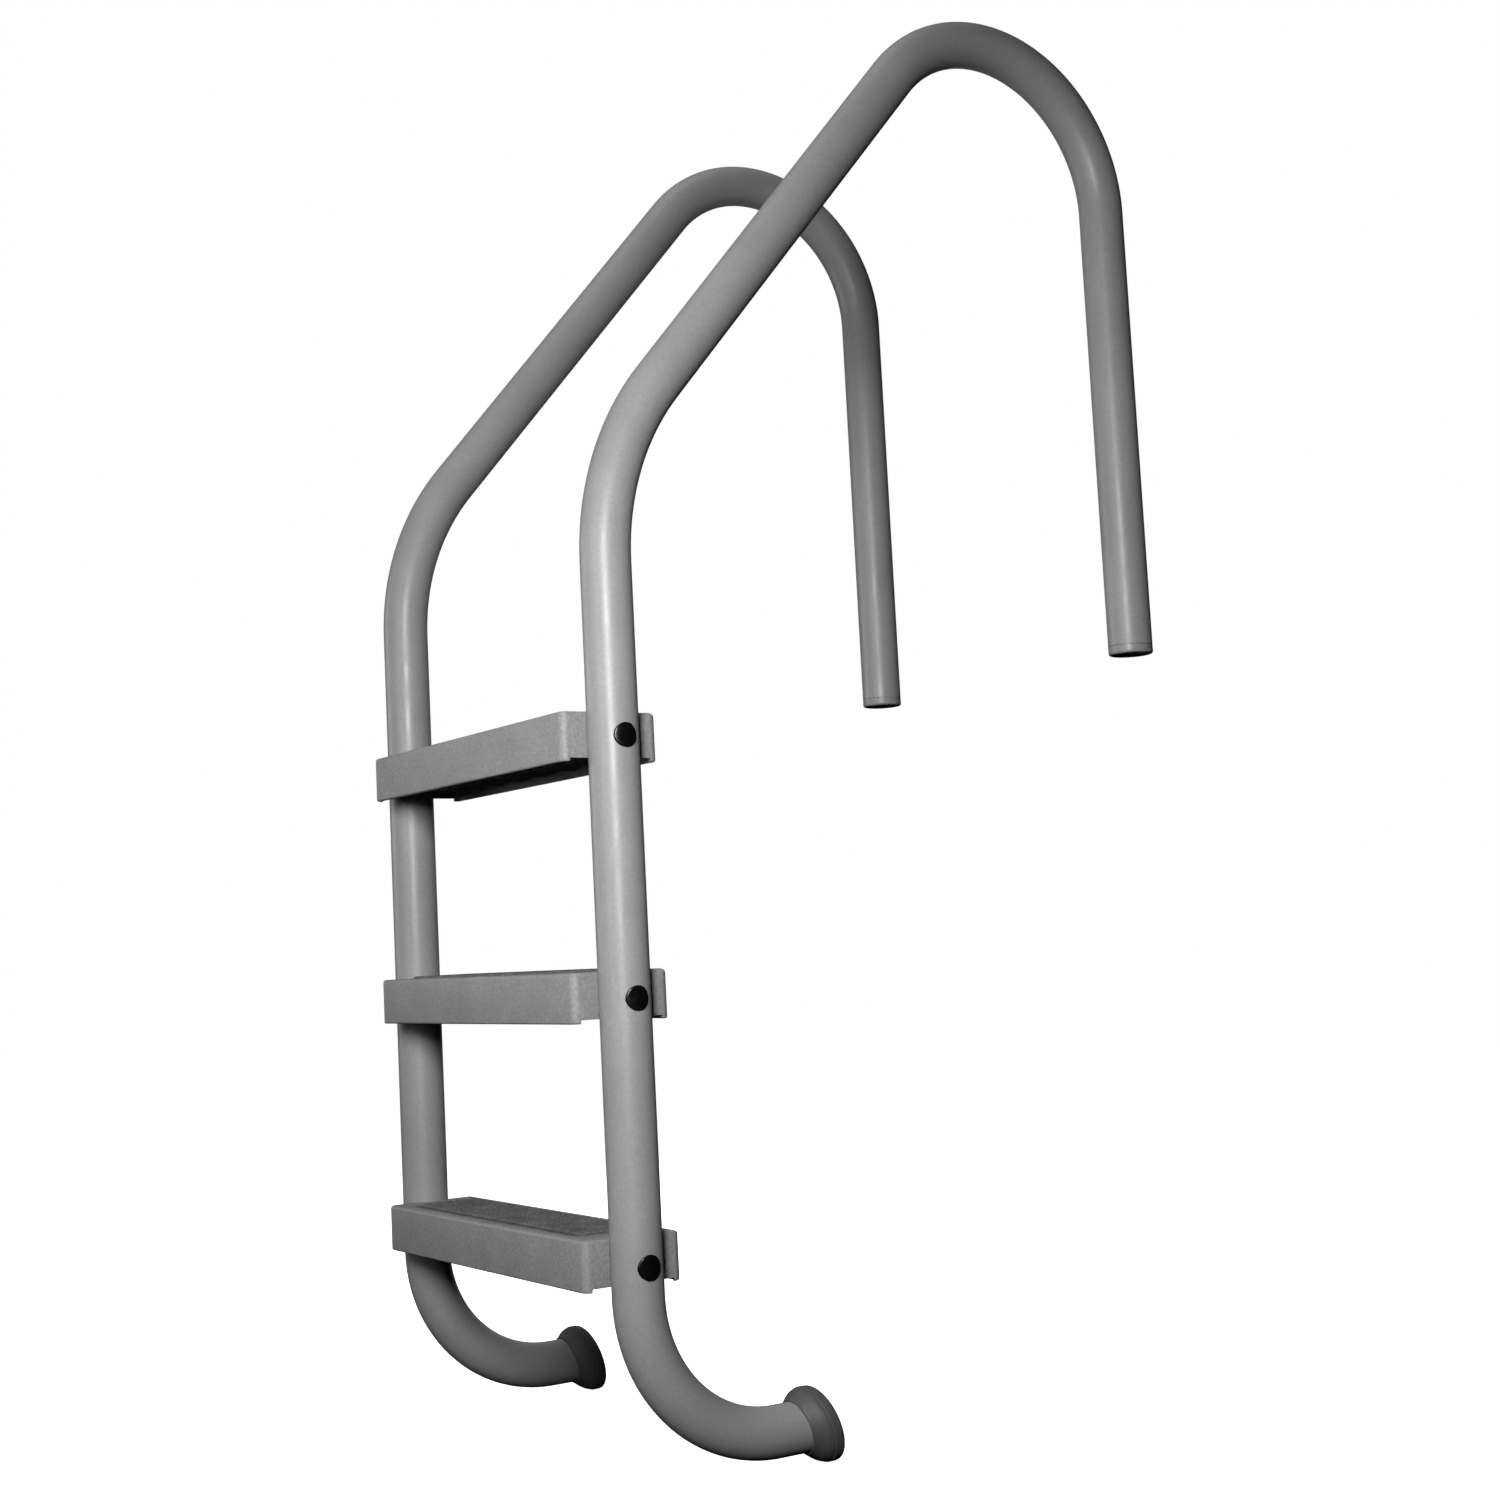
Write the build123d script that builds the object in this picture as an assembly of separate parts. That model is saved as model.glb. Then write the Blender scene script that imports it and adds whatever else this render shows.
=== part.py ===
from build123d import *
import math
import os

os.makedirs("parts", exist_ok=True)

# Pool ladder. Millimetres and degrees, +Z up, -Y towards the pool, +Y towards the deck.
# Origin: centre of the ladder's footprint, at the height of the bumpers' lowest point.

# Rails: 1.90 in tube, bent in one plane
TUBE_OD = 48.26
TUBE_WALL = 1.65
OVERALL_WIDTH = 508.0
FOOT_BEND_RADIUS = 141.5
KNEE_RADIUS = 274.5
KNEE_ANGLE = 40.3
ARCH_RADIUS = 162.0
KNEE_HEIGHT = 951.3
DECK_REACH = 656.0
DECK_LEG_END = 784.5
FOOT_END = 180.0

# Bumpers, pushed on the feet; their rings lean, with the upper side nearer the leg
BUMPER_RADIUS = 36.0
BUMPER_LIP_RADIUS = 26.2
BUMPER_SHOULDER_RADIUS = 34.0
BUMPER_FACE_RADIUS = 32.5
BUMPER_START = 164.0
BUMPER_SHOULDER = 176.0
BUMPER_RIM_START = 182.0
BUMPER_RIM_END = 189.0
BUMPER_END = 193.5
BUMPER_LEAN = 15.0
PUSH_FIT = 0.1

# Steps
STEP_TOPS = {"bottom": 231.0, "middle": 470.8, "top": 710.6}
STEP_HEIGHT = 46.7
STEP_FRONT = 48.2
STEP_REAR = 53.8
STEP_END_INSET = 11.1
STEP_DECK = 5.0
STEP_WALL = 4.0
STEP_CORNER_RADIUS = 8.0
STEP_REAR_TOP_RADIUS = 9.0
STEP_REAR_BOTTOM_RADIUS = 6.0
STEP_EDGE_RADIUS = 3.5
STEP_END_RELIEF = 3.5
NOTCH_CLEARANCE = 0.15
TREAD_RIM = 12.0
TREAD_END_INSET = 33.0
TREAD_RECESS = 2.0
TREAD_GROOVE = 2.6
TREAD_PROUD = 2.3
TREAD_CORNER_RADIUS = 12.0
RIB_THICKNESS = 3.0
RIB_SETBACK = 7.0
CROSS_RIBS = 7
RIB_END_GAP = 13.0

# Step fixing: M8 bolt from inside the tube into a captive nut in the step's end boss
BOLT_DROP = 25.5
BOLT_RADIUS = 4.0
BOLT_LENGTH = 45.0
BOLT_HEAD_HEIGHT = 5.3
HEX_ACROSS_FLATS = 13.0
THREAD_GAP = 0.05
BOLT_HOLE_RADIUS = 4.5
WASHER_RADIUS = 9.8
WASHER_THICKNESS = 3.6
NUT_HEIGHT = 6.5
NUT_POCKET_DEPTH = 4.5
NUT_POCKET_GAP = 0.2
BOSS_RADIUS = 12.0
BOSS_LENGTH = 26.0

# Plugs over the access holes
ACCESS_HOLE_RADIUS = 10.6
PLUG_RADIUS = 11.7
PLUG_PROUD = 1.5
PLUG_EDGE = 0.7
PLUG_SKIRT_RADIUS = 10.45
PLUG_SKIRT_WALL = 1.5
PLUG_SKIRT_DEPTH = 8.0

# Plugs in the deck legs
DECK_PLUG_BAND = 10.0
DECK_PLUG_EDGE = 2.5
DECK_PLUG_STUB_GAP = 0.15
DECK_PLUG_STUB = 25.0
DECK_PLUG_WALL = 2.5

# Worked out from the above
TUBE_RADIUS = TUBE_OD / 2
TUBE_BORE = TUBE_RADIUS - TUBE_WALL
RAIL_X = OVERALL_WIDTH / 2 - TUBE_RADIUS
LEG_Y = (STEP_FRONT - DECK_REACH - TUBE_RADIUS) / 2
DECK_Y = LEG_Y + DECK_REACH
FOOT_Z = BUMPER_RADIUS
ARCH_CORNER_Z = KNEE_HEIGHT + DECK_REACH / math.tan(math.radians(KNEE_ANGLE))
STEP_END_X = RAIL_X - STEP_END_INSET
STEP_DEPTH = STEP_FRONT + STEP_REAR
STEP_Y = LEG_Y + (STEP_REAR - STEP_FRONT) / 2
CAVITY_END_X = RAIL_X - TUBE_RADIUS - NOTCH_CLEARANCE - STEP_WALL
BOSS_END_X = CAVITY_END_X - BOSS_LENGTH
HEAD_SEAT_X = RAIL_X - TUBE_BORE + WASHER_THICKNESS
SIDES = {"left": -1, "right": 1}


def rod_x(radius, x_from, x_to, y, z):
    """A round bar along X between two stations."""
    middle = (x_from + x_to) / 2
    return Pos(middle, y, z) * Rot(0, 90, 0) * Cylinder(radius, abs(x_to - x_from))


def hex_x(across_flats, x_from, x_to, y, z):
    """A hexagonal bar along X between two stations."""
    hexagon = RegularPolygon(across_flats / 2, 6, major_radius=False)
    face = Plane(origin=(x_from, y, z), z_dir=(1, 0, 0)) * hexagon
    return extrude(face, x_to - x_from, dir=(1, 0, 0))


def on_side(solid, side):
    """Pieces are drawn on the right-hand rail and mirrored for the left-hand one."""
    return solid if side > 0 else mirror(solid, Plane.YZ)


def bolt_height(step_top):
    return step_top - BOLT_DROP


def rail_path():
    """Centreline of a rail: foot, lower leg, diagonal and deck leg, joined by three bends."""
    corners = [
        (RAIL_X, LEG_Y + FOOT_END, FOOT_Z),
        (RAIL_X, LEG_Y, FOOT_Z),
        (RAIL_X, LEG_Y, KNEE_HEIGHT),
        (RAIL_X, DECK_Y, ARCH_CORNER_Z),
        (RAIL_X, DECK_Y, DECK_LEG_END + DECK_PLUG_BAND),
    ]
    return FilletPolyline(*corners, radius=[FOOT_BEND_RADIUS, KNEE_RADIUS, ARCH_RADIUS])


def rail():
    """Bent tube with a bolt hole in the inner wall and an access hole in the outer wall at each step."""
    path = rail_path()
    start = Plane(origin=path @ 0, z_dir=path % 0)
    tube = sweep(start * Circle(TUBE_RADIUS), path=path) - sweep(start * Circle(TUBE_BORE), path=path)
    for step_top in STEP_TOPS.values():
        z = bolt_height(step_top)
        tube -= rod_x(BOLT_HOLE_RADIUS, RAIL_X - TUBE_OD, RAIL_X, LEG_Y, z)
        tube -= rod_x(ACCESS_HOLE_RADIUS, RAIL_X, RAIL_X + TUBE_OD, LEG_Y, z)
    return tube


def step_block(step_top):
    """Outer form of a step: square at the front, rounded at the back, with rounded upright corners."""
    profile = Rectangle(STEP_DEPTH, STEP_HEIGHT)
    front = profile.vertices().sort_by(Axis.X)[:2]
    profile = fillet(front, STEP_EDGE_RADIUS)
    rear = profile.vertices().sort_by(Axis.X)[-2:].sort_by(Axis.Y)
    profile = fillet(rear[-1], STEP_REAR_TOP_RADIUS)
    rear_bottom = profile.vertices().group_by(Axis.X)[-1].sort_by(Axis.Y)[0]
    profile = fillet(rear_bottom, STEP_REAR_BOTTOM_RADIUS)
    middle = (0, STEP_Y, step_top - STEP_HEIGHT / 2)
    section = Plane(origin=middle, x_dir=(0, 1, 0), z_dir=(1, 0, 0)) * profile
    block = extrude(section, STEP_END_X, both=True)
    plan = Rectangle(2 * STEP_END_X, STEP_DEPTH)
    plan = fillet(plan.vertices(), STEP_CORNER_RADIUS)
    column = extrude(Pos(0, STEP_Y, step_top - STEP_HEIGHT) * plan, STEP_HEIGHT)
    return block & column


def step_hollow(step_top):
    """Hollow under the step, running past the tube sleeves and bolt bosses, less the ribs."""
    floor = step_top - STEP_HEIGHT
    depth = STEP_HEIGHT - STEP_DECK
    inside = STEP_DEPTH - 2 * STEP_WALL
    hollow = Pos(0, STEP_Y, floor + depth / 2) * Box(2 * (STEP_END_X - STEP_WALL), inside, depth)
    for side in SIDES.values():
        sleeve_radius = TUBE_RADIUS + NOTCH_CLEARANCE + STEP_WALL
        hollow -= Pos(side * RAIL_X, LEG_Y, floor + depth / 2) * Cylinder(sleeve_radius, depth)
        hollow -= rod_x(BOSS_RADIUS, side * RAIL_X, side * BOSS_END_X, LEG_Y, bolt_height(step_top))
    rib_height = depth - RIB_SETBACK
    rib_z = floor + RIB_SETBACK + rib_height / 2
    rib_end = BOSS_END_X - RIB_END_GAP
    hollow -= Pos(0, STEP_Y, rib_z) * Box(2 * rib_end, RIB_THICKNESS, rib_height)
    pitch = 2 * rib_end / (CROSS_RIBS - 1)
    for index in range(CROSS_RIBS):
        hollow -= Pos(index * pitch - rib_end, STEP_Y, rib_z) * Box(RIB_THICKNESS, inside, rib_height)
    return hollow


def tread_plan(inset):
    """Rounded outline of the anti-slip panel's recess, or one a little inside it."""
    length = 2 * (STEP_END_X - TREAD_END_INSET - inset)
    plan = Rectangle(length, STEP_DEPTH - 2 * (TREAD_RIM + inset))
    return fillet(plan.vertices(), TREAD_CORNER_RADIUS - inset)


def tread_recess(step_top):
    """Shallow recess in the top face, round the anti-slip panel."""
    return extrude(Pos(0, STEP_Y, step_top - TREAD_RECESS) * tread_plan(0), TREAD_RECESS)


def tread_panel(step_top):
    """Envelope of the anti-slip panel, standing proud of the step's rim."""
    base = Pos(0, STEP_Y, step_top - TREAD_RECESS) * tread_plan(TREAD_GROOVE)
    return extrude(base, TREAD_RECESS + TREAD_PROUD)


def end_relief(step_top):
    """Strip taken off the lower edge of both end walls and tube sleeves, between the skirts."""
    depth = STEP_DEPTH - 2 * STEP_CORNER_RADIUS
    strip = Box(2 * STEP_END_X, depth, STEP_END_RELIEF) - Box(2 * CAVITY_END_X, depth, STEP_END_RELIEF)
    return Pos(0, STEP_Y, step_top - STEP_HEIGHT + STEP_END_RELIEF / 2) * strip


def step(step_top):
    """Moulded step with notched ends, bolt holes and nut pockets."""
    body = step_block(step_top) - step_hollow(step_top) - end_relief(step_top)
    body = body - tread_recess(step_top) + tread_panel(step_top)
    z = bolt_height(step_top)
    for side in SIDES.values():
        body -= Pos(side * RAIL_X, LEG_Y, z) * Cylinder(TUBE_RADIUS + NOTCH_CLEARANCE, 2 * STEP_HEIGHT)
        body -= rod_x(BOLT_HOLE_RADIUS, side * BOSS_END_X, side * RAIL_X, LEG_Y, z)
        pocket = hex_x(HEX_ACROSS_FLATS + NUT_POCKET_GAP, BOSS_END_X, BOSS_END_X + NUT_POCKET_DEPTH, LEG_Y, z)
        body -= on_side(pocket, side)
    return body


def step_bolt(z):
    """M8 hex bolt, head inside the tube and thread end past the nut."""
    head = hex_x(HEX_ACROSS_FLATS, HEAD_SEAT_X, HEAD_SEAT_X + BOLT_HEAD_HEIGHT, LEG_Y, z)
    return head + rod_x(BOLT_RADIUS - THREAD_GAP, HEAD_SEAT_X - BOLT_LENGTH, HEAD_SEAT_X, LEG_Y, z)


def saddle_washer(z):
    """Washer, flat under the bolt head and curved against the tube's inner wall."""
    washer = rod_x(WASHER_RADIUS, RAIL_X - TUBE_RADIUS, HEAD_SEAT_X, LEG_Y, z)
    washer &= Pos(RAIL_X, LEG_Y, z) * Cylinder(TUBE_BORE, TUBE_OD)
    return washer - rod_x(BOLT_HOLE_RADIUS, RAIL_X - TUBE_OD, RAIL_X, LEG_Y, z)


def step_nut(z):
    """M8 nut, part of its height in the boss's pocket."""
    seat = BOSS_END_X + NUT_POCKET_DEPTH
    nut = hex_x(HEX_ACROSS_FLATS, seat - NUT_HEIGHT, seat, LEG_Y, z)
    return nut - rod_x(BOLT_RADIUS, seat - NUT_HEIGHT, seat, LEG_Y, z)


def hole_plug(z):
    """Plastic plug: a head that follows the tube's curve over the access hole, and a hollow skirt."""
    head = rod_x(PLUG_RADIUS, RAIL_X, RAIL_X + TUBE_OD, LEG_Y, z)
    head &= Pos(RAIL_X, LEG_Y, z) * Cylinder(TUBE_RADIUS + PLUG_PROUD, TUBE_OD)
    head = fillet(head.faces().sort_by(Axis.X)[-1].outer_wire().edges(), PLUG_EDGE)
    head -= Pos(RAIL_X, LEG_Y, z) * Cylinder(TUBE_RADIUS, TUBE_OD)
    skirt_start = RAIL_X + TUBE_RADIUS - PLUG_SKIRT_DEPTH
    skirt = rod_x(PLUG_SKIRT_RADIUS, skirt_start, RAIL_X + TUBE_RADIUS, LEG_Y, z)
    bore = rod_x(PLUG_SKIRT_RADIUS - PLUG_SKIRT_WALL, skirt_start, RAIL_X + TUBE_RADIUS, LEG_Y, z)
    return head + (skirt - bore)


def bumper_ring(radius, station):
    """Leaning ring of a bumper: round when seen along the foot."""
    centre = (RAIL_X, LEG_Y + station, FOOT_Z)
    lean = math.radians(BUMPER_LEAN)
    plane = Plane(origin=centre, x_dir=(1, 0, 0), z_dir=(0, math.cos(lean), math.sin(lean)))
    return plane * Ellipse(radius, radius / math.cos(lean))


def bumper():
    """Rubber bumper: a bell that flares from the tube to a round pad facing the pool wall."""
    rings = [
        bumper_ring(BUMPER_LIP_RADIUS, BUMPER_START),
        bumper_ring(BUMPER_SHOULDER_RADIUS, BUMPER_SHOULDER),
        bumper_ring(BUMPER_RADIUS, BUMPER_RIM_START),
        bumper_ring(BUMPER_RADIUS, BUMPER_RIM_END),
        bumper_ring(BUMPER_FACE_RADIUS, BUMPER_END),
    ]
    bell = loft(rings, ruled=True)
    bore_radius = TUBE_RADIUS + PUSH_FIT
    bore = Pos(RAIL_X, LEG_Y + FOOT_END / 2, FOOT_Z) * Rot(90, 0, 0) * Cylinder(bore_radius, FOOT_END)
    return bell - bore


def deck_plug():
    """Plastic plug: a band as wide as the tube and a hollow stub inside it."""
    band = Pos(RAIL_X, DECK_Y, DECK_LEG_END + DECK_PLUG_BAND / 2) * Cylinder(TUBE_RADIUS, DECK_PLUG_BAND)
    band = fillet(band.edges().sort_by(Axis.Z)[0], DECK_PLUG_EDGE)
    stub_base = DECK_LEG_END + DECK_PLUG_BAND
    stub_radius = TUBE_BORE - DECK_PLUG_STUB_GAP
    stub = Pos(RAIL_X, DECK_Y, stub_base + DECK_PLUG_STUB / 2) * Cylinder(stub_radius, DECK_PLUG_STUB)
    bore_depth = DECK_PLUG_STUB + DECK_PLUG_BAND - DECK_PLUG_WALL
    bore_base = DECK_LEG_END + DECK_PLUG_WALL
    bore_radius = stub_radius - DECK_PLUG_WALL
    bore = Pos(RAIL_X, DECK_Y, bore_base + bore_depth / 2) * Cylinder(bore_radius, bore_depth)
    return band + stub - bore


def export(solid, name):
    """One file for each piece; each file's name is the piece's name."""
    piece = solid.solid()
    piece.label = name
    export_step(piece, f"parts/{name}.step")


def main():
    for side_name, side in SIDES.items():
        export(on_side(rail(), side), f"rail_{side_name}")
        export(on_side(bumper(), side), f"bumper_{side_name}")
        export(on_side(deck_plug(), side), f"deck_plug_{side_name}")
        for level, step_top in STEP_TOPS.items():
            z = bolt_height(step_top)
            fixings = {
                "hole_plug": hole_plug(z),
                "step_bolt": step_bolt(z),
                "saddle_washer": saddle_washer(z),
                "step_nut": step_nut(z),
            }
            for kind, solid in fixings.items():
                export(on_side(solid, side), f"{kind}_{level}_{side_name}")
    for level, step_top in STEP_TOPS.items():
        export(step(step_top), f"step_{level}")


main()
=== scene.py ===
import math

import bmesh
import bpy
from mathutils import Matrix, Vector


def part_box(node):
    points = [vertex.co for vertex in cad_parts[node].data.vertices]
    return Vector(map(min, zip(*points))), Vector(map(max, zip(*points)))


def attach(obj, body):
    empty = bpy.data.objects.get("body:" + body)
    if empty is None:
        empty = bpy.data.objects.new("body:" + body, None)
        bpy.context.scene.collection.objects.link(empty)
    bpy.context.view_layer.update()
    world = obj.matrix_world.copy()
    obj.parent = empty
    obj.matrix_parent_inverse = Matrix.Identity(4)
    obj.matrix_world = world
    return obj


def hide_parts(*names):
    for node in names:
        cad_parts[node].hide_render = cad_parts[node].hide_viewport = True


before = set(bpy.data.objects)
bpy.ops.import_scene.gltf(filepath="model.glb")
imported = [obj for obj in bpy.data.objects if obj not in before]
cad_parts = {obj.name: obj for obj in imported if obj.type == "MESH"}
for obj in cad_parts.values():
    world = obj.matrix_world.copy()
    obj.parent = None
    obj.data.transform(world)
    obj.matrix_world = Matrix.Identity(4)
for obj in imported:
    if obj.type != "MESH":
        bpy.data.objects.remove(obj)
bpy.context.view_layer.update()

MM = 0.001
SIDES = {"left": -1, "right": 1}
LEVELS = ("bottom", "middle", "top")
COLLECTION = bpy.context.scene.collection

# Rail sizes that the frame's boxes don't give
TUBE_WALL = 1.65 * MM
FOOT_BEND_RADIUS = 141.5 * MM
KNEE_RADIUS = 274.5 * MM
ARCH_RADIUS = 162.0 * MM
KNEE_HEIGHT = 951.3 * MM
KNEE_ANGLE = math.radians(40.3)

# Step sizes
STEP_DECK = 5.0 * MM
STEP_WALL = 4.0 * MM
STEP_CORNER = 8.0 * MM
STEP_REAR_TOP = 9.0 * MM
STEP_REAR_BOTTOM = 6.0 * MM
STEP_TOP_EDGE = 3.2 * MM
STEP_EDGE_BEVEL = 0.6 * MM
STEP_BOTTOM_EDGE = 2.0 * MM
STEP_END_RELIEF = 3.5 * MM
NOTCH_GAP = 0.15 * MM
RIB_THICKNESS = 3.0 * MM
RIB_SETBACK = 7.0 * MM
RIB_END_GAP = 13.0 * MM
POCKET_CORNER = 2.0 * MM
CROSS_RIBS = 7
STEP_CUT_LENGTH = 60.0 * MM
BOLT_DROP = 25.5 * MM
BOSS_RADIUS = 12.0 * MM
BOSS_LENGTH = 26.0 * MM
BOLT_HOLE_RADIUS = 4.5 * MM
NUT_ACROSS_FLATS = 13.2 * MM
NUT_POCKET_DEPTH = 4.5 * MM

# Anti-slip panel in each step's top face
TREAD_END = 33.0 * MM
TREAD_RIM = 12.0 * MM
TREAD_CORNER = 12.0 * MM
TREAD_DEPTH = 2.0 * MM
TREAD_PROUD = 2.3 * MM
TREAD_GAP = 2.6 * MM
TREAD_PLATE = 2.2 * MM
STUD_PITCH = 6.4 * MM
STUD_BASE = 5.0 * MM
STUD_TOP = 3.4 * MM

# Plugs over the access holes
PLUG_PROUD = 1.5 * MM
PLUG_EDGE = 1.1 * MM

# Bumpers, measured from the leg's axis; their rings lean, with the upper side nearer the leg
BUMPER_LIP_RADIUS = 26.2 * MM
BUMPER_START = 164.0 * MM
BUMPER_RIM_START = 182.0 * MM
BUMPER_RIM_END = 188.5 * MM
BUMPER_END = 193.5 * MM
BUMPER_LEAN = math.tan(math.radians(15))
BUMPER_STEP = 0.8 * MM
FLARE_RINGS = 14
FOOT_END = 180.0 * MM

# Plugs in the deck legs
DECK_PLUG_BAND = 10.0 * MM
DECK_PLUG_EDGE = 2.5 * MM
DECK_PLUG_WALL = 2.5 * MM
DECK_PLUG_DISH = 15.0 * MM
DECK_PLUG_DISH_DEPTH = 0.8 * MM
DECK_PLUG_GROOVE = 1.1 * MM

# Scuffs in the materials: marks per metre across and along, their slant, and patches per metre
SCUFF_SCALE = 1.0
SCUFF_STRETCH = (900.0, 900.0, 70.0)
SCUFF_TURN = (0.35, 0.2, 0.0)
PATCH_SCALE = 14.0

# Studio
FLOOR_RADIUS = 14.0
FLOOR_THICKNESS = 0.02

# Camera
CAMERA_PLACE = (1.9085, -1.26235, 0.4849)
CAMERA_AZIMUTH = math.radians(56.85)
CAMERA_PITCH = math.radians(5.41)
CAMERA_ROLL = math.radians(-2.92)
CAMERA_LENS = 50.19


# ---------------------------------------------------------------- frame sizes

rail_low, rail_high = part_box("rail_right")
TUBE_RADIUS = (rail_high.x - rail_low.x) / 2
TUBE_BORE = TUBE_RADIUS - TUBE_WALL
RAIL_X = (rail_high.x + rail_low.x) / 2
LEG_Y = rail_low.y + TUBE_RADIUS
DECK_Y = rail_high.y - TUBE_RADIUS
FOOT_Z = rail_low.z + TUBE_RADIUS
bumper_low, bumper_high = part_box("bumper_right")
deck_plug_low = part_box("deck_plug_right")[0]


# ---------------------------------------------------------------- mesh helpers

def new_piece(name, mesh, smooth_angle=None):
    """Links a mesh as an object, smooth all over or smooth up to an edge angle."""
    mesh.name = name
    piece = bpy.data.objects.new(name, mesh)
    COLLECTION.objects.link(piece)
    if smooth_angle is None:
        mesh.shade_smooth()
    else:
        mesh.polygons.foreach_set("use_smooth", [True] * len(mesh.polygons))
        mesh.set_sharp_from_angle(angle=math.radians(smooth_angle))
    return piece


def mesh_from(vertices, faces):
    mesh = bpy.data.meshes.new("mesh")
    mesh.from_pydata([tuple(v) for v in vertices], [], faces)
    return outward(mesh)


def outward(mesh):
    """Turns every face outwards."""
    work = bmesh.new()
    work.from_mesh(mesh)
    bmesh.ops.recalc_face_normals(work, faces=work.faces)
    work.to_mesh(mesh)
    work.free()
    mesh.update()
    return mesh


def prism(outline, place, height):
    """Closed prism: an outline of 2-D points, lifted by place(u, v, w) at w = 0 and w = height."""
    count = len(outline)
    vertices = [place(u, v, w) for w in (0, height) for u, v in outline]
    sides = [(i, (i + 1) % count, count + (i + 1) % count, count + i) for i in range(count)]
    return mesh_from(vertices, [tuple(range(count)), tuple(range(count, 2 * count)), *sides])


def upright(u, v, w):
    return (u, v, w)


def along_x(u, v, w):
    return (w, u, v)


def shifted(place, x=0.0, y=0.0, z=0.0):
    """The same placing function, moved."""
    return lambda u, v, w: tuple(a + b for a, b in zip(place(u, v, w), (x, y, z)))


def round_outline(radius, sides=96):
    turns = [2 * math.pi * i / sides for i in range(sides)]
    return [(radius * math.cos(t), radius * math.sin(t)) for t in turns]


def hexagon(across_flats):
    reach = across_flats / 2 / math.cos(math.pi / 6)
    return round_outline(reach, 6)


def rounded_box(low_u, low_v, high_u, high_v, radii, sides=10):
    """Rectangle whose four corners have their own radii, from the low corner anticlockwise."""
    corners = [
        (low_u, low_v, 1, 1, math.pi),
        (high_u, low_v, -1, 1, 1.5 * math.pi),
        (high_u, high_v, -1, -1, 0),
        (low_u, high_v, 1, -1, 0.5 * math.pi),
    ]
    outline = []
    for (u, v, in_u, in_v, start), radius in zip(corners, radii):
        centre = (u + in_u * radius, v + in_v * radius)
        count = sides if radius > 0 else 0
        for i in range(count + 1):
            turn = start + 0.5 * math.pi * i / max(count, 1)
            outline.append((centre[0] + radius * math.cos(turn), centre[1] + radius * math.sin(turn)))
    return outline


def combine(base, cutter, operation):
    """Applies one boolean of two meshes and returns the new mesh."""
    a = bpy.data.objects.new("base", base)
    b = bpy.data.objects.new("cutter", cutter)
    COLLECTION.objects.link(a)
    COLLECTION.objects.link(b)
    step = a.modifiers.new("boolean", "BOOLEAN")
    step.operation = operation
    step.solver = "EXACT"
    step.object = b
    result = applied(a)
    bpy.data.objects.remove(a)
    bpy.data.objects.remove(b)
    return result


def applied(piece):
    """The mesh of a piece with its modifiers applied."""
    graph = bpy.context.evaluated_depsgraph_get()
    graph.update()
    return bpy.data.meshes.new_from_object(piece.evaluated_get(graph))


def joined(meshes):
    """One mesh that holds several closed shells."""
    work = bmesh.new()
    for mesh in meshes:
        work.from_mesh(mesh)
    whole = bpy.data.meshes.new("joined")
    work.to_mesh(whole)
    work.free()
    return whole


def lathe(profile, place, turns=96):
    """Closed solid of revolution. The profile runs from axis to axis as (radius, station)."""
    vertices = []
    faces = []
    rings = []
    for radius, station in profile:
        if radius < 1e-7:
            rings.append([len(vertices)])
            vertices.append(place(0, 0, station))
        else:
            rings.append(list(range(len(vertices), len(vertices) + turns)))
            vertices += [place(u, v, station) for u, v in round_outline(radius, turns)]
    for lower, upper in zip(rings, rings[1:]):
        for i in range(turns):
            j = (i + 1) % turns
            face = [lower[i % len(lower)], lower[j % len(lower)]]
            face += [upper[j % len(upper)], upper[i % len(upper)]]
            face = list(dict.fromkeys(face))
            if len(face) > 2:
                faces.append(tuple(face))
    return mesh_from(vertices, faces)


def arc(centre, radius, start, end, count):
    """Points on an arc, both ends included, angles in degrees."""
    turns = [math.radians(start + (end - start) * i / count) for i in range(count + 1)]
    return [(centre[0] + radius * math.cos(t), centre[1] + radius * math.sin(t)) for t in turns]


def finish_piece(piece, material, slot, *nodes):
    """Material, body and the CAD nodes that the piece stands for. The slot argument is not used."""
    piece.data.materials.clear()
    piece.data.materials.append(material)
    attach(piece, "root")
    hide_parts(*nodes)
    return piece


# ---------------------------------------------------------------- rails

def rail_centreline():
    """Points and headings (y, z) of a rail's axis: straight runs joined by tangent arcs."""
    arch_corner = KNEE_HEIGHT + (DECK_Y - LEG_Y) / math.tan(KNEE_ANGLE)
    corners = [
        Vector((LEG_Y + FOOT_END, FOOT_Z)),
        Vector((LEG_Y, FOOT_Z)),
        Vector((LEG_Y, KNEE_HEIGHT)),
        Vector((DECK_Y, arch_corner)),
        Vector((DECK_Y, rail_deck_end())),
    ]
    radii = [FOOT_BEND_RADIUS, KNEE_RADIUS, ARCH_RADIUS]
    stations = [corners[0]]
    for i, radius in enumerate(radii, 1):
        into = (corners[i] - corners[i - 1]).normalized()
        out = (corners[i + 1] - corners[i]).normalized()
        turn = into.angle_signed(out)
        reach = radius * math.tan(abs(turn) / 2)
        first = corners[i] - into * reach
        side = Vector((into.y, -into.x)) * (1 if turn > 0 else -1)
        centre = first + side * radius
        stations += straight(stations[-1], first)
        count = max(8, round(math.degrees(abs(turn)) / 2))
        start = first - centre
        for k in range(1, count + 1):
            stations.append(centre + Matrix.Rotation(-turn * k / count, 2) @ start)
    return stations + straight(stations[-1], corners[-1])


def straight(start, end, pitch=0.02):
    count = max(1, round((end - start).length / pitch))
    return [start.lerp(end, k / count) for k in range(1, count + 1)]


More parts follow.
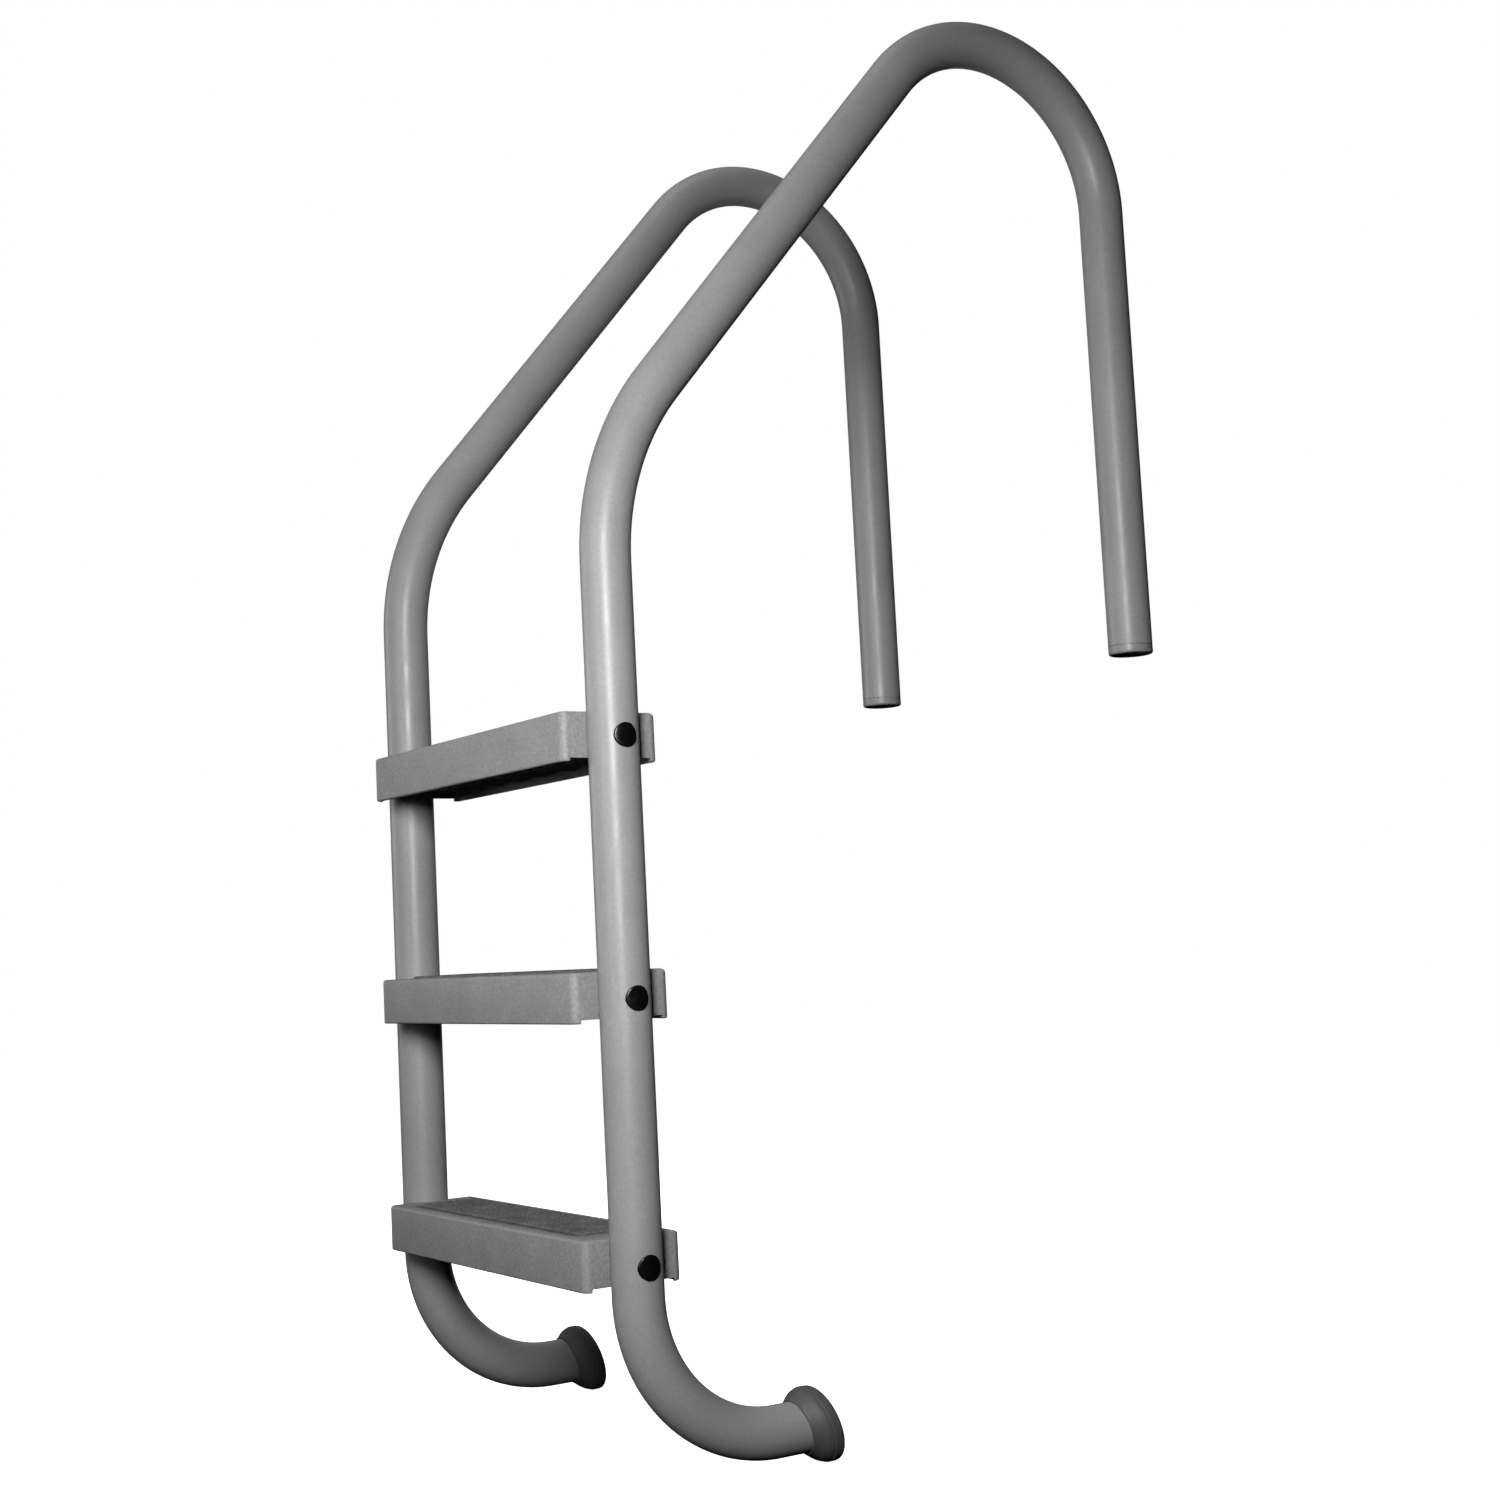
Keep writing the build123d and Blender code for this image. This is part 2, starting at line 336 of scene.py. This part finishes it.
def rail_deck_end():
    return deck_plug_low.z + DECK_PLUG_BAND


def tube_mesh(x, radius_out, radius_in, turns=96):
    """Hollow tube swept along the rail's axis in the plane at x. The bolt and access holes are left out."""
    line = rail_centreline()
    vertices = []
    for i, point in enumerate(line):
        ahead = line[min(i + 1, len(line) - 1)]
        behind = line[max(i - 1, 0)]
        heading = (ahead - behind).normalized()
        across = Vector((-heading.y, heading.x))
        for radius in (radius_out, radius_in):
            for u, v in round_outline(radius, turns):
                place = point + across * v
                vertices.append((x + u, place.x, place.y))
    ring = 2 * turns
    faces = []
    for i in range(len(line) - 1):
        for offset in (0, turns):
            for k in range(turns):
                a = i * ring + offset + k
                b = i * ring + offset + (k + 1) % turns
                faces.append((a, b, b + ring, a + ring))
    for end in (0, (len(line) - 1) * ring):
        for k in range(turns):
            j = (k + 1) % turns
            faces.append((end + k, end + j, end + turns + j, end + turns + k))
    return mesh_from(vertices, faces)


def build_rails(material):
    for name, side in SIDES.items():
        mesh = tube_mesh(side * RAIL_X, TUBE_RADIUS, TUBE_BORE)
        piece = new_piece(f"rail_tube_{name}", mesh, smooth_angle=40)
        finish_piece(piece, material, "coated_tube", f"rail_{name}")


# ---------------------------------------------------------------- steps

def step_body(low, high):
    """Outer form: a column with rounded edges, cut to the side profile with its rounded back."""
    plan = rounded_box(low.x, low.y, high.x, high.y, (STEP_CORNER,) * 4, sides=12)
    column = prism(plan, shifted(upright, z=low.z), high.z - low.z)
    work = bmesh.new()
    work.from_mesh(column)
    for level, width in ((high.z, STEP_TOP_EDGE), (low.z, STEP_BOTTOM_EDGE)):
        edges = [e for e in work.edges if all(abs(v.co.z - level) < MM / 100 for v in e.verts)]
        bmesh.ops.bevel(work, geom=edges, offset=width, segments=5, profile=0.5, affect="EDGES")
    work.to_mesh(column)
    work.free()
    margin = 2 * MM
    radii = (0, STEP_REAR_BOTTOM + margin, STEP_REAR_TOP, 0)
    profile = rounded_box(low.y - margin, low.z - margin, high.y, high.z, radii, sides=14)
    block = prism(profile, shifted(along_x, x=low.x - margin), high.x - low.x + 2 * margin)
    return combine(outward(column), block, "INTERSECT")


def x_rod(radius, x_from, x_to, y, z, sides=64):
    return prism(round_outline(radius, sides), shifted(along_x, x=x_from, y=y, z=z), x_to - x_from)


def step_hollow(low, high, cavity_end):
    """Ribbed hollow under the step: one shallow opening, with deep pockets between the ribs."""
    margin = 2 * MM
    front, rear = low.y + STEP_WALL, high.y - STEP_WALL
    pocket_end = high.x - STEP_WALL
    shallow = rounded_box(-pocket_end, front, pocket_end, rear, (3 * MM,) * 4, sides=4)
    hollow = prism(shallow, shifted(upright, z=low.z - margin), RIB_SETBACK + margin)
    pockets = []
    boss_end = cavity_end - BOSS_LENGTH
    rib_end = boss_end - RIB_END_GAP
    pitch = 2 * rib_end / (CROSS_RIBS - 1)
    edges = [-rib_end + pitch * i for i in range(CROSS_RIBS)]
    middle = (low.y + high.y) / 2
    half = RIB_THICKNESS / 2
    for a, b in zip(edges, edges[1:]):
        for v_low, v_high in ((front, middle - half), (middle + half, rear)):
            outline = rounded_box(a + half, v_low, b - half, v_high, (POCKET_CORNER,) * 4, sides=3)
            pockets.append(prism(outline, shifted(upright, z=low.z), high.z - low.z - STEP_DECK))
    for side in SIDES.values():
        u_low, u_high = sorted((side * (rib_end + half), side * pocket_end))
        outline = rounded_box(u_low, front, u_high, rear, (POCKET_CORNER,) * 4, sides=3)
        pockets.append(prism(outline, shifted(upright, z=low.z), high.z - low.z - STEP_DECK))
    hollow = combine(hollow, joined(pockets), "UNION")
    shell = TUBE_RADIUS + NOTCH_GAP + STEP_WALL
    bolt_z = high.z - BOLT_DROP
    for side in SIDES.values():
        place = shifted(upright, x=side * RAIL_X, y=LEG_Y, z=low.z - 3 * margin)
        sleeve = prism(round_outline(shell), place, STEP_CUT_LENGTH)
        hollow = combine(hollow, sleeve, "DIFFERENCE")
        x_from, x_to = sorted((side * boss_end, side * high.x))
        hollow = combine(hollow, x_rod(BOSS_RADIUS, x_from, x_to, LEG_Y, bolt_z), "DIFFERENCE")
    return hollow


def tread_outline(low, high, inset=0.0):
    """The recess's rounded outline, or one a little inside it."""
    corners = (TREAD_CORNER - inset,) * 4
    end, rim = TREAD_END + inset, TREAD_RIM + inset
    return rounded_box(low.x + end, low.y + rim, high.x - end, high.y - rim, corners, sides=16)


def step_drills(low, high, cavity_end):
    """Notches for the tubes, bolt holes and nut pockets."""
    drills = []
    boss_end = cavity_end - BOSS_LENGTH
    bolt_z = high.z - BOLT_DROP
    for side in SIDES.values():
        notch = round_outline(TUBE_RADIUS + NOTCH_GAP)
        place = shifted(upright, x=side * RAIL_X, y=LEG_Y, z=low.z - 10 * MM)
        drills.append(prism(notch, place, STEP_CUT_LENGTH + 10 * MM))
        hole_start = boss_end + NUT_POCKET_DEPTH - MM
        hole_from, hole_to = sorted((side * hole_start, side * (cavity_end + 2 * STEP_WALL)))
        drills.append(x_rod(BOLT_HOLE_RADIUS, hole_from, hole_to, LEG_Y, bolt_z, 32))
        pocket_from, pocket_to = sorted((side * (boss_end - MM), side * (boss_end + NUT_POCKET_DEPTH)))
        place = shifted(along_x, x=pocket_from, y=LEG_Y, z=bolt_z)
        drills.append(prism(hexagon(NUT_ACROSS_FLATS), place, pocket_to - pocket_from))
    return drills


def tread_panel(low, high):
    """Anti-slip panel: a thin plate in the recess with rows of studs on it."""
    floor = high.z - TREAD_DEPTH
    plate = prism(tread_outline(low, high, TREAD_GAP), shifted(upright, z=floor), TREAD_PLATE)
    return joined([plate, tread_studs(low, high, floor + TREAD_PLATE - NOTCH_GAP)])


def tread_studs(low, high, floor):
    """Rows of studs, every second row set over by half a pitch, each a small rounded frustum."""
    vertices = []
    faces = []
    u_low, u_high = low.x + TREAD_END, high.x - TREAD_END
    v_low, v_high = low.y + TREAD_RIM, high.y - TREAD_RIM
    across = int((u_high - u_low) / STUD_PITCH)
    along = int((v_high - v_low) / STUD_PITCH)
    rise = high.z + TREAD_PROUD - floor
    shoulder = STUD_TOP + 0.5 * MM
    levels = ((STUD_BASE, 0), (shoulder, 0.7 * rise), (STUD_TOP, 0.92 * rise), (STUD_TOP / 2, rise))
    for j in range(along):
        for i in range(across):
            u = (u_low + u_high) / 2 + (i - (across - 1) / 2 + (j % 2 - 0.5) / 2) * STUD_PITCH
            v = (v_low + v_high) / 2 + (j - (along - 1) / 2) * STUD_PITCH
            if corner_gap(u, v, u_low, v_low, u_high, v_high) < STUD_BASE / 2 + TREAD_GAP + NOTCH_GAP:
                continue
            add_frustum(vertices, faces, u, v, floor, levels)
    return mesh_from(vertices, faces)


def add_frustum(vertices, faces, u, v, floor, levels):
    """Adds one closed square stud; levels are (width, rise) from the bottom up."""
    first = len(vertices)
    for width, rise in levels:
        half = width / 2
        corners = ((-1, -1), (1, -1), (1, 1), (-1, 1))
        vertices += [(u + a * half, v + b * half, floor + rise) for a, b in corners]
    faces.append((first, first + 1, first + 2, first + 3))
    for base in range(first, len(vertices) - 4, 4):
        for k in range(4):
            m = (k + 1) % 4
            faces.append((base + k, base + m, base + 4 + m, base + 4 + k))
    faces.append(tuple(range(len(vertices) - 4, len(vertices))))


def corner_gap(u, v, u_low, v_low, u_high, v_high):
    """Distance from a point to the panel's rounded outline, positive inside."""
    du = min(u - u_low, u_high - u)
    dv = min(v - v_low, v_high - v)
    if du < TREAD_CORNER and dv < TREAD_CORNER:
        return TREAD_CORNER - math.hypot(TREAD_CORNER - du, TREAD_CORNER - dv)
    return min(du, dv)


def end_relief(low, high, side):
    """Cutter for the lower edge of one end wall, between the front and rear corners."""
    sleeve_end = RAIL_X - TUBE_RADIUS - NOTCH_GAP - STEP_WALL
    u_low, u_high = sorted((side * sleeve_end, side * (high.x + STEP_CORNER)))
    outline = rounded_box(u_low, low.y + STEP_CORNER, u_high, high.y - STEP_CORNER, (0,) * 4)
    return prism(outline, shifted(upright, z=low.z - STEP_CORNER), STEP_CORNER + STEP_END_RELIEF)


def step_mesh(low, high):
    cavity_end = RAIL_X - TUBE_RADIUS - NOTCH_GAP - STEP_WALL
    body = step_body(low, high)
    body = combine(body, step_hollow(low, high, cavity_end), "DIFFERENCE")
    recess = prism(tread_outline(low, high), shifted(upright, z=high.z - TREAD_DEPTH), 2 * TREAD_DEPTH)
    body = combine(body, recess, "DIFFERENCE")
    for side in SIDES.values():
        body = combine(body, end_relief(low, high, side), "DIFFERENCE")
    for drill in step_drills(low, high, cavity_end):
        body = combine(body, drill, "DIFFERENCE")
    return body


def step_box(level):
    """Corners of a step's moulding, without the anti-slip panel that stands proud of it."""
    low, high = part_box(f"step_{level}")
    return low, Vector((high.x, high.y, high.z - TREAD_PROUD))


def build_steps(moulding, tread):
    for level in LEVELS:
        low, high = step_box(level)
        piece = new_piece(f"step_draft_{level}", step_mesh(low, high), smooth_angle=35)
        bevel = piece.modifiers.new("edges", "BEVEL")
        bevel.width = STEP_EDGE_BEVEL
        bevel.segments = 2
        bevel.limit_method = "ANGLE"
        bevel.angle_limit = math.radians(35)
        body = applied(piece)
        bpy.data.objects.remove(piece)
        piece = new_piece(f"step_moulding_{level}", body, smooth_angle=35)
        finish_piece(piece, moulding, "step_plastic", f"step_{level}")
        # The panel takes the tread material, whose dark tone is painted shade among the studs.
        panel = new_piece(f"step_tread_{level}", tread_panel(low, high), smooth_angle=35)
        finish_piece(panel, tread, "step_plastic", f"step_{level}")


# ---------------------------------------------------------------- small parts

def bumper_profile():
    """Half section (radius, station) of a bumper, from the bore's floor round to the face."""
    bore = TUBE_RADIUS + NOTCH_GAP
    radius = (bumper_high.z - bumper_low.z) / 2
    floor = FOOT_END + BUMPER_LEAN * bore
    inside = [(0, floor), (bore, floor), (bore, BUMPER_START)]
    lip = arc((BUMPER_LIP_RADIUS - MM, BUMPER_START + MM), MM, -90, 0, 5)
    flare = []
    crown = radius - BUMPER_STEP
    start, end = BUMPER_START + MM, BUMPER_RIM_START - BUMPER_STEP
    for k in range(1, FLARE_RINGS + 1):
        t = k / FLARE_RINGS
        reach = BUMPER_LIP_RADIUS + (crown - BUMPER_LIP_RADIUS) * math.sin(t * math.pi / 2) ** 1.1
        flare.append((reach, start + (end - start) * t))
    flare += arc((crown, BUMPER_RIM_START), BUMPER_STEP, -90, 0, 4)
    edge = BUMPER_END - BUMPER_RIM_END
    shoulder = arc((radius - edge, BUMPER_RIM_END), edge, 0, 90, 8)
    dish = [(0.62 * radius, BUMPER_END), (0.6 * radius, BUMPER_END - MM), (0, BUMPER_END - MM)]
    return inside + lip + flare + shoulder + dish


def build_bumpers(material):
    for name, side in SIDES.items():
        def place(u, v, station, x=side * RAIL_X):
            return (x + u, LEG_Y + station - BUMPER_LEAN * v, FOOT_Z + v)

        piece = new_piece(f"bumper_pad_{name}", lathe(bumper_profile(), place), smooth_angle=38)
        finish_piece(piece, material, "bumper_rubber", f"bumper_{name}")


def build_deck_plugs(material):
    for name, side in SIDES.items():
        low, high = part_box(f"deck_plug_{name}")
        radius = (high.x - low.x) / 2
        base, band = low.z, low.z + DECK_PLUG_BAND
        stub = TUBE_BORE - NOTCH_GAP
        underside = [(0, base + DECK_PLUG_DISH_DEPTH), (DECK_PLUG_DISH, base + DECK_PLUG_DISH_DEPTH)]
        underside.append((DECK_PLUG_DISH + 2 * MM, base))
        corner = arc((radius - DECK_PLUG_EDGE, base + DECK_PLUG_EDGE), DECK_PLUG_EDGE, -90, 0, 8)
        groove = [(radius, band - 0.9 * MM), (radius - 0.3 * MM, band - 0.6 * MM)]
        groove.append((radius - DECK_PLUG_GROOVE, band - 0.5 * MM))
        groove += [(radius - DECK_PLUG_GROOVE, band), (stub, band)]
        bore = stub - DECK_PLUG_WALL
        inner = [(stub, high.z), (bore, high.z), (bore, base + DECK_PLUG_WALL), (0, base + DECK_PLUG_WALL)]
        profile = underside + corner + groove + inner
        place = shifted(upright, x=side * RAIL_X, y=DECK_Y)
        piece = new_piece(f"deck_plug_band_{name}", lathe(profile, place), smooth_angle=38)
        finish_piece(piece, material, "end_plug_plastic", f"deck_plug_{name}")


def build_hole_plugs(material):
    for level in LEVELS:
        for name, side in SIDES.items():
            low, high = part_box(f"hole_plug_{level}_{name}")
            radius = (high.y - low.y) / 2
            centre_z = (high.z + low.z) / 2
            mesh = plug_mesh(side, radius, centre_z)
            piece = new_piece(f"hole_plug_cap_{level}_{name}", mesh, smooth_angle=50)
            finish_piece(piece, material, "hole_plug_plastic", f"hole_plug_{level}_{name}")


def plug_mesh(side, radius, centre_z, turns=72):
    """Head that follows the tube's curve, with a rounded edge and an underside on the tube."""
    crown = [(t * (radius - PLUG_EDGE), PLUG_PROUD) for t in (0.25, 0.5, 0.75)]
    edge = arc((radius - PLUG_EDGE, PLUG_PROUD - PLUG_EDGE), PLUG_EDGE, 90, 0, 6)
    rings = crown + edge + [(radius, -NOTCH_GAP), (radius / 2, -NOTCH_GAP)]
    vertices = [(side * (RAIL_X + TUBE_RADIUS + PLUG_PROUD), LEG_Y, centre_z)]
    for reach, rise in rings:
        for turn in ring_angles(turns):
            y = reach * math.cos(turn)
            x = RAIL_X + math.sqrt((TUBE_RADIUS + rise) ** 2 - y * y)
            vertices.append((side * x, LEG_Y + y, centre_z + reach * math.sin(turn)))
    vertices.append((side * (RAIL_X + TUBE_RADIUS - NOTCH_GAP), LEG_Y, centre_z))
    faces = [(0, 1 + k, 1 + (k + 1) % turns) for k in range(turns)]
    for ring in range(len(rings) - 1):
        base = 1 + ring * turns
        for k in range(turns):
            j = (k + 1) % turns
            faces.append((base + k, base + j, base + turns + j, base + turns + k))
    base = 1 + (len(rings) - 1) * turns
    faces += [(base + k, base + (k + 1) % turns, len(vertices) - 1) for k in range(turns)]
    return mesh_from(vertices, faces)


def ring_angles(turns):
    return [2 * math.pi * k / turns for k in range(turns)]


# ---------------------------------------------------------------- materials

def new_material(name):
    material = bpy.data.materials.new(name)
    material.use_nodes = True
    nodes = material.node_tree.nodes
    shader = nodes["Principled BSDF"]
    return material, nodes, material.node_tree.links, shader


def noise(nodes, links, coords, scale, detail=4.0, roughness=0.5):
    node = nodes.new("ShaderNodeTexNoise")
    node.inputs["Scale"].default_value = scale
    node.inputs["Detail"].default_value = detail
    node.inputs["Roughness"].default_value = roughness
    links.new(coords, node.inputs["Vector"])
    return node.outputs["Fac"]


def ramp(nodes, links, value, stops):
    node = nodes.new("ShaderNodeValToRGB")
    elements = node.color_ramp.elements
    while len(elements) < len(stops):
        elements.new(0.5)
    for element, (place, grey) in zip(elements, stops):
        element.position = place
        element.color = (grey, grey, grey, 1)
    links.new(value, node.inputs["Fac"])
    return node.outputs["Color"]


def bump(nodes, links, height, strength, distance, normal=None):
    node = nodes.new("ShaderNodeBump")
    node.inputs["Strength"].default_value = strength
    node.inputs["Distance"].default_value = distance
    links.new(height, node.inputs["Height"])
    if normal is not None:
        links.new(normal, node.inputs["Normal"])
    return node.outputs["Normal"]


def maths(nodes, links, operation, first, second):
    """One arithmetic operation on two sockets, or on a socket and a number."""
    node = nodes.new("ShaderNodeMath")
    node.operation = operation
    links.new(first, node.inputs[0])
    if isinstance(second, float):
        node.inputs[1].default_value = second
    else:
        links.new(second, node.inputs[1])
    return node.outputs["Value"]


def stretched(nodes, links, coords, scale):
    """Coordinates squeezed along one axis, so that a noise becomes long marks."""
    mapping = nodes.new("ShaderNodeMapping")
    mapping.inputs["Scale"].default_value = scale
    mapping.inputs["Rotation"].default_value = SCUFF_TURN
    links.new(coords, mapping.inputs["Vector"])
    return mapping.outputs["Vector"]


def scuff_mask(nodes, links, coords, amount):
    """Sparse hairline marks, gathered in patches where hands and feet rub."""
    marks = noise(nodes, links, stretched(nodes, links, coords, SCUFF_STRETCH), SCUFF_SCALE, 2.0, 0.5)
    marks = ramp(nodes, links, marks, ((0.60, 0.0), (0.68, amount)))
    patches = noise(nodes, links, coords, PATCH_SCALE, 2.0, 0.5)
    patches = ramp(nodes, links, patches, ((0.44, 0.0), (0.62, 1.0)))
    return maths(nodes, links, "MULTIPLY", marks, patches)


def surface_material(name, tone, spread, roughness, grain, coarse, wear):
    """Grey surface with clouds, speckle and scuffs in colour, uneven gloss and two scales of bump."""
    material, nodes, links, shader = new_material(name)
    coords = nodes.new("ShaderNodeTexCoord").outputs["Object"]
    cloud = noise(nodes, links, coords, coarse["scale"], 5.0, 0.6)
    colour = ramp(nodes, links, cloud, ((0.3, tone * (1 - spread)), (0.7, tone * (1 + spread))))
    speckle = noise(nodes, links, coords, grain["speckle_scale"], 3.0, 0.6)
    speckle = ramp(nodes, links, speckle, ((0.32, 1 - grain["speckle"]), (0.68, 1 + grain["speckle"])))
    colour = maths(nodes, links, "MULTIPLY", colour, speckle)
    scuffs = scuff_mask(nodes, links, coords, wear)
    colour = maths(nodes, links, "MULTIPLY", colour, maths(nodes, links, "ADD", scuffs, 1.0))
    links.new(colour, shader.inputs["Base Color"])
    uneven = noise(nodes, links, coords, coarse["scale"] * 4, 3.0)
    gloss = ramp(nodes, links, uneven, ((0.3, roughness - 0.05), (0.7, roughness + 0.06)))
    gloss = maths(nodes, links, "ADD", gloss, maths(nodes, links, "MULTIPLY", scuffs, 0.3))
    links.new(gloss, shader.inputs["Roughness"])
    fine = noise(nodes, links, coords, grain["scale"], 2.0, 0.5)
    normal = bump(nodes, links, fine, grain["strength"], grain["depth"])
    broad = noise(nodes, links, coords, coarse["bump_scale"], 3.0)
    normal = bump(nodes, links, broad, coarse["strength"], coarse["depth"], normal)
    links.new(normal, shader.inputs["Normal"])
    return material


def build_materials():
    return {
        "coated_tube": surface_material(
            "powder_coat", 0.275, 0.06, 0.41,
            {"scale": 900, "strength": 0.12, "depth": 0.0004, "speckle": 0.06, "speckle_scale": 330},
            {"scale": 9, "bump_scale": 160, "strength": 0.09, "depth": 0.0006}, 0.16,
        ),
        "step_plastic": surface_material(
            "moulded_step", 0.243, 0.09, 0.52,
            {"scale": 1100, "strength": 0.34, "depth": 0.0005, "speckle": 0.17, "speckle_scale": 330},
            {"scale": 22, "bump_scale": 90, "strength": 0.07, "depth": 0.0008}, 0.22,
        ),
        # Tread panel: the step's own plastic darkened to well under half its tone. This is painted shade
        # standing in for the shadow among the studs and gaps; its scuffs are real wear.
        "tread": surface_material(
            "tread_panel", 0.095, 0.28, 0.62,
            {"scale": 1100, "strength": 0.34, "depth": 0.0005, "speckle": 0.25, "speckle_scale": 330},
            {"scale": 34, "bump_scale": 120, "strength": 0.12, "depth": 0.0008}, 0.35,
        ),
        "bumper_rubber": surface_material(
            "bumper_rubber", 0.082, 0.12, 0.55,
            {"scale": 1000, "strength": 0.24, "depth": 0.0005, "speckle": 0.12, "speckle_scale": 560},
            {"scale": 25, "bump_scale": 70, "strength": 0.10, "depth": 0.0008}, 0.30,
        ),
        "end_plug_plastic": surface_material(
            "end_plug", 0.25, 0.06, 0.42,
            {"scale": 1200, "strength": 0.14, "depth": 0.0004, "speckle": 0.06, "speckle_scale": 600},
            {"scale": 30, "bump_scale": 120, "strength": 0.06, "depth": 0.0006}, 0.2,
        ),
        "hole_plug_plastic": surface_material(
            "black_plug", 0.003, 0.15, 0.24,
            {"scale": 1300, "strength": 0.08, "depth": 0.0003, "speckle": 0.15, "speckle_scale": 700},
            {"scale": 60, "bump_scale": 200, "strength": 0.05, "depth": 0.0004}, 0.5,
        ),
        "stainless": stainless_material(),
    }


def stainless_material():
    material = surface_material(
        "stainless", 0.55, 0.06, 0.30,
        {"scale": 1400, "strength": 0.10, "depth": 0.0003, "speckle": 0.05, "speckle_scale": 700},
        {"scale": 40, "bump_scale": 260, "strength": 0.08, "depth": 0.0003}, 0.15,
    )
    material.node_tree.nodes["Principled BSDF"].inputs["Metallic"].default_value = 1.0
    return material


def paint_fasteners(material):
    """The bolts, washers and nuts keep their CAD shape."""
    for node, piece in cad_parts.items():
        if node.startswith(("step_bolt", "saddle_washer", "step_nut")):
            piece.data.materials.clear()
            piece.data.materials.append(material)


# ---------------------------------------------------------------- studio

def build_floor():
    """Pale floor that lights nothing, so the tubes keep their dark undersides."""
    mesh = prism(round_outline(FLOOR_RADIUS, 128), shifted(upright, z=-FLOOR_THICKNESS), FLOOR_THICKNESS)
    floor = new_piece("floor", mesh, smooth_angle=30)
    material, nodes, links, shader = new_material("floor")
    shader.inputs["Base Color"].default_value = (0.9, 0.9, 0.9, 1)
    shader.inputs["Roughness"].default_value = 0.9
    shader.inputs["Emission Color"].default_value = (1, 1, 1, 1)
    shader.inputs["Emission Strength"].default_value = 1.0
    floor.data.materials.append(material)
    floor.visible_diffuse = False
    floor.visible_glossy = False


def area_light(name, place, aim, width, height, power, spread=180, glossy=True):
    light = bpy.data.lights.new(name, "AREA")
    light.shape = "RECTANGLE"
    light.size = width
    light.size_y = height
    light.energy = power
    light.spread = math.radians(spread)
    lamp = bpy.data.objects.new(name, light)
    COLLECTION.objects.link(lamp)
    lamp.location = place
    lamp.rotation_mode = "QUATERNION"
    lamp.rotation_quaternion = (Vector(aim) - Vector(place)).to_track_quat("-Z", "Y")
    lamp.visible_camera = False
    lamp.visible_glossy = glossy


def build_studio():
    build_floor()
    aim = (0.0, -0.1, 0.7)
    area_light("key", (1.49, -1.22, 1.02), (0.0, -0.1, 0.6), 0.28, 0.6, 11, spread=100)
    area_light("strip", (0.65, -2.2, 1.1), aim, 0.16, 1.2, 9)
    area_light("left_fill", (-1.9, -1.6, 1.0), aim, 0.9, 1.2, 9)
    area_light("rear_fill", (-1.9, 1.45, 1.2), aim, 1.4, 1.4, 32, glossy=False)
    area_light("top_fill", (-0.5, -0.2, 3.0), aim, 1.2, 1.2, 22, glossy=False)
    world = bpy.data.worlds.new("studio")
    world.use_nodes = True
    background = world.node_tree.nodes["Background"]
    background.inputs["Color"].default_value = (1, 1, 1, 1)
    background.inputs["Strength"].default_value = 1.0
    world.cycles_visibility.diffuse = False
    world.cycles_visibility.glossy = False
    bpy.context.scene.world = world
    bpy.context.scene.view_settings.view_transform = "Standard"


def build_camera():
    azimuth, pitch, roll = CAMERA_AZIMUTH, CAMERA_PITCH, CAMERA_ROLL
    level = Vector((-math.sin(azimuth), math.cos(azimuth), 0))
    forward = level * math.cos(pitch) + Vector((0, 0, math.sin(pitch)))
    right = Vector((math.cos(azimuth), math.sin(azimuth), 0))
    up = right.cross(forward)
    tilted_right = right * math.cos(roll) + up * math.sin(roll)
    tilted_up = up * math.cos(roll) - right * math.sin(roll)
    data = bpy.data.cameras.new("camera")
    data.sensor_width = 36
    data.lens = CAMERA_LENS
    data.clip_end = 100
    camera = bpy.data.objects.new("camera", data)
    COLLECTION.objects.link(camera)
    turn = Matrix((tilted_right, tilted_up, -forward)).transposed()
    camera.matrix_world = Matrix.Translation(CAMERA_PLACE) @ turn.to_4x4()
    bpy.context.scene.camera = camera


materials = build_materials()
build_rails(materials["coated_tube"])
build_steps(materials["step_plastic"], materials["tread"])
build_bumpers(materials["bumper_rubber"])
build_deck_plugs(materials["end_plug_plastic"])
build_hole_plugs(materials["hole_plug_plastic"])
paint_fasteners(materials["stainless"])
build_studio()
build_camera()
